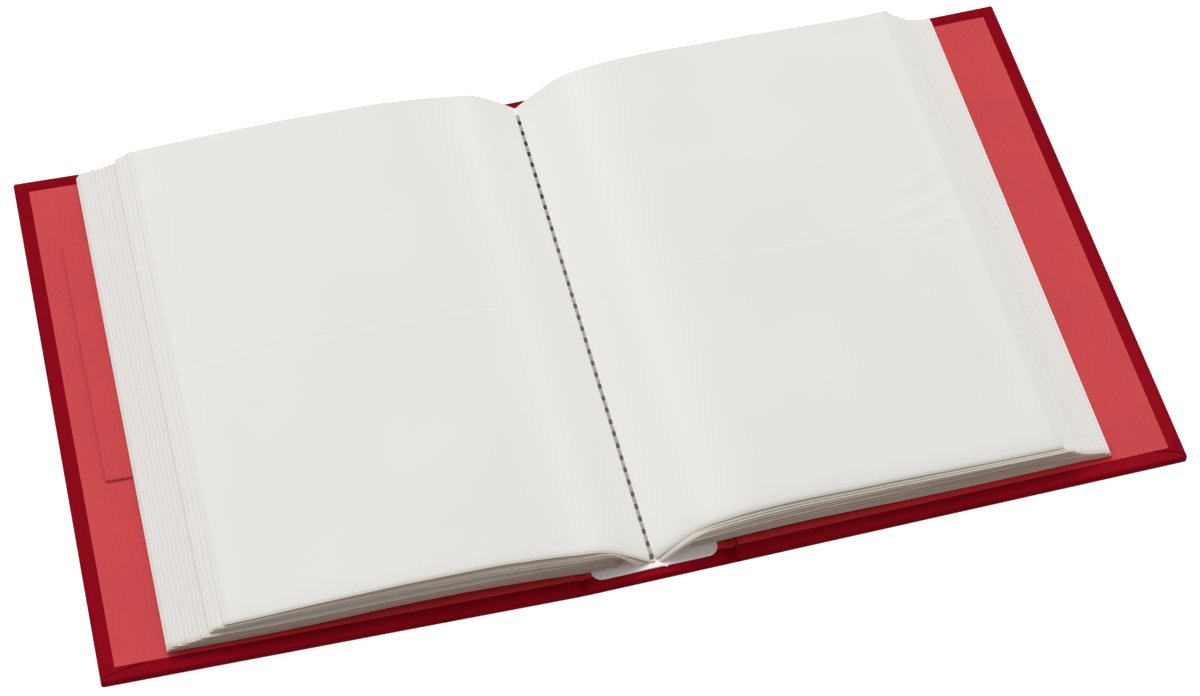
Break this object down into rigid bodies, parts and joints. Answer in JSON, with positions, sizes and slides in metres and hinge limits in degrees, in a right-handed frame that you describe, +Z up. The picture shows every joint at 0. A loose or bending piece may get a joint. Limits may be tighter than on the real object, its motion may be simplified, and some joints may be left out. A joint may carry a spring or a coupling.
{
  "type": "book-bound pocket album",
  "caption": "Cloth-covered album with sewn clear-film pocket leaves, lying open; both covers hinge on the spine and carry the leaves with them.",
  "frame": {"origin": "on the table, under the middle of the spine", "axes": "+X across the open album towards the back cover, +Y up the spine towards the head, +Z up from the table"},
  "size_m": [0.3963, 0.225, 0.0247],
  "materials": {
    "book_cloth": "woven, matte",
    "coral_paper": "matte printed paper",
    "grey_board": "raw grey board",
    "white_plate": "smooth matte",
    "clear_film": "frosted clear film",
    "thread": "sewing thread"
  },
  "bodies": {
    "spine": {"spine_board": "grey_board", "spine_cloth": "book_cloth", "spine_lining": "grey_board", "binding_plate": "white_plate", "centre_fold": "clear_film", "centre_stitches": "thread", "left_stitches": "thread", "right_stitches": "thread", "front_joint_cloth": "book_cloth", "back_joint_cloth": "book_cloth", "front_joint_paper": "coral_paper", "back_joint_paper": "coral_paper"},
    "front_cover": {"front_board": "grey_board", "front_cloth": "book_cloth", "front_infill": "grey_board", "front_endpaper": "coral_paper", "front_pocket": "coral_paper"},
    "back_cover": {"back_board": "grey_board", "back_cloth": "book_cloth", "back_infill": "grey_board", "back_endpaper": "coral_paper"},
    "left_section": {"left_sheet_1": "clear_film", "left_sheet_2": "clear_film", "left_sheet_3": "clear_film", "left_sheet_4": "clear_film", "left_sheet_5": "clear_film", "left_sheet_6": "clear_film", "left_sheet_7": "clear_film", "left_sheet_8": "clear_film"},
    "right_section": {"right_sheet_1": "clear_film", "right_sheet_2": "clear_film", "right_sheet_3": "clear_film", "right_sheet_4": "clear_film", "right_sheet_5": "clear_film", "right_sheet_6": "clear_film", "right_sheet_7": "clear_film", "right_sheet_8": "clear_film"},
    "centre_left_root": {"centre_left_roots": "clear_film"},
    "centre_right_root": {"centre_right_roots": "clear_film"},
    "centre_left_leaves": {"centre_left_leaf_1": "clear_film", "centre_left_leaf_2": "clear_film", "centre_left_leaf_3": "clear_film", "centre_left_leaf_4": "clear_film", "centre_left_leaf_5": "clear_film", "centre_left_leaf_6": "clear_film", "centre_left_leaf_7": "clear_film", "centre_left_leaf_8": "clear_film", "centre_left_leaf_9": "clear_film"},
    "centre_right_leaves": {"centre_right_leaf_1": "clear_film", "centre_right_leaf_2": "clear_film", "centre_right_leaf_3": "clear_film", "centre_right_leaf_4": "clear_film", "centre_right_leaf_5": "clear_film", "centre_right_leaf_6": "clear_film", "centre_right_leaf_7": "clear_film", "centre_right_leaf_8": "clear_film", "centre_right_leaf_9": "clear_film"}
  },
  "joints": [
    {"name": "front_cover_hinge", "type": "hinge", "parent": "spine", "child": "front_cover", "pos_m": [-0.0273, 0, 0.0015], "axis": [0, 1, 0], "range_deg": [-3.8, 86.2], "deforming": ["front_joint_cloth", "front_joint_paper"]},
    {"name": "back_cover_hinge", "type": "hinge", "parent": "spine", "child": "back_cover", "pos_m": [0.0273, 0, 0.0015], "axis": [0, -1, 0], "range_deg": [0, 90], "deforming": ["back_joint_cloth", "back_joint_paper"]},
    {"name": "left_section_turn", "type": "hinge", "parent": "spine", "child": "left_section", "pos_m": [-0.0152, 0, 0.0089], "axis": [0, 1, 0], "range_deg": [-4, 87]},
    {"name": "right_section_turn", "type": "hinge", "parent": "spine", "child": "right_section", "pos_m": [0.0152, 0, 0.0082], "axis": [0, -1, 0], "range_deg": [0, 91]},
    {"name": "centre_left_root_turn", "type": "hinge", "parent": "spine", "child": "centre_left_root", "pos_m": [-0.0009, 0, 0.005], "axis": [0, 1, 0], "range_deg": [-2.5, 47]},
    {"name": "centre_left_leaf_bend", "type": "hinge", "parent": "centre_left_root", "child": "centre_left_leaves", "pos_m": [-0.02235, 0, 0.0201], "axis": [0, 1, 0], "range_deg": [-2, 41]},
    {"name": "centre_right_root_turn", "type": "hinge", "parent": "spine", "child": "centre_right_root", "pos_m": [0.0009, 0, 0.005], "axis": [0, -1, 0], "range_deg": [0, 51]},
    {"name": "centre_right_leaf_bend", "type": "hinge", "parent": "centre_right_root", "child": "centre_right_leaves", "pos_m": [0.02235, 0, 0.0194], "axis": [0, -1, 0], "range_deg": [0, 41]}
  ],
  "couplings": [
    {"joint": "left_section_turn", "follows": "front_cover_hinge", "ratio": 1},
    {"joint": "centre_left_root_turn", "follows": "front_cover_hinge", "ratio": 0.53333},
    {"joint": "centre_left_leaf_bend", "follows": "front_cover_hinge", "ratio": 0.46667},
    {"joint": "right_section_turn", "follows": "back_cover_hinge", "ratio": 1},
    {"joint": "centre_right_root_turn", "follows": "back_cover_hinge", "ratio": 0.55556},
    {"joint": "centre_right_leaf_bend", "follows": "back_cover_hinge", "ratio": 0.44444}
  ]
}
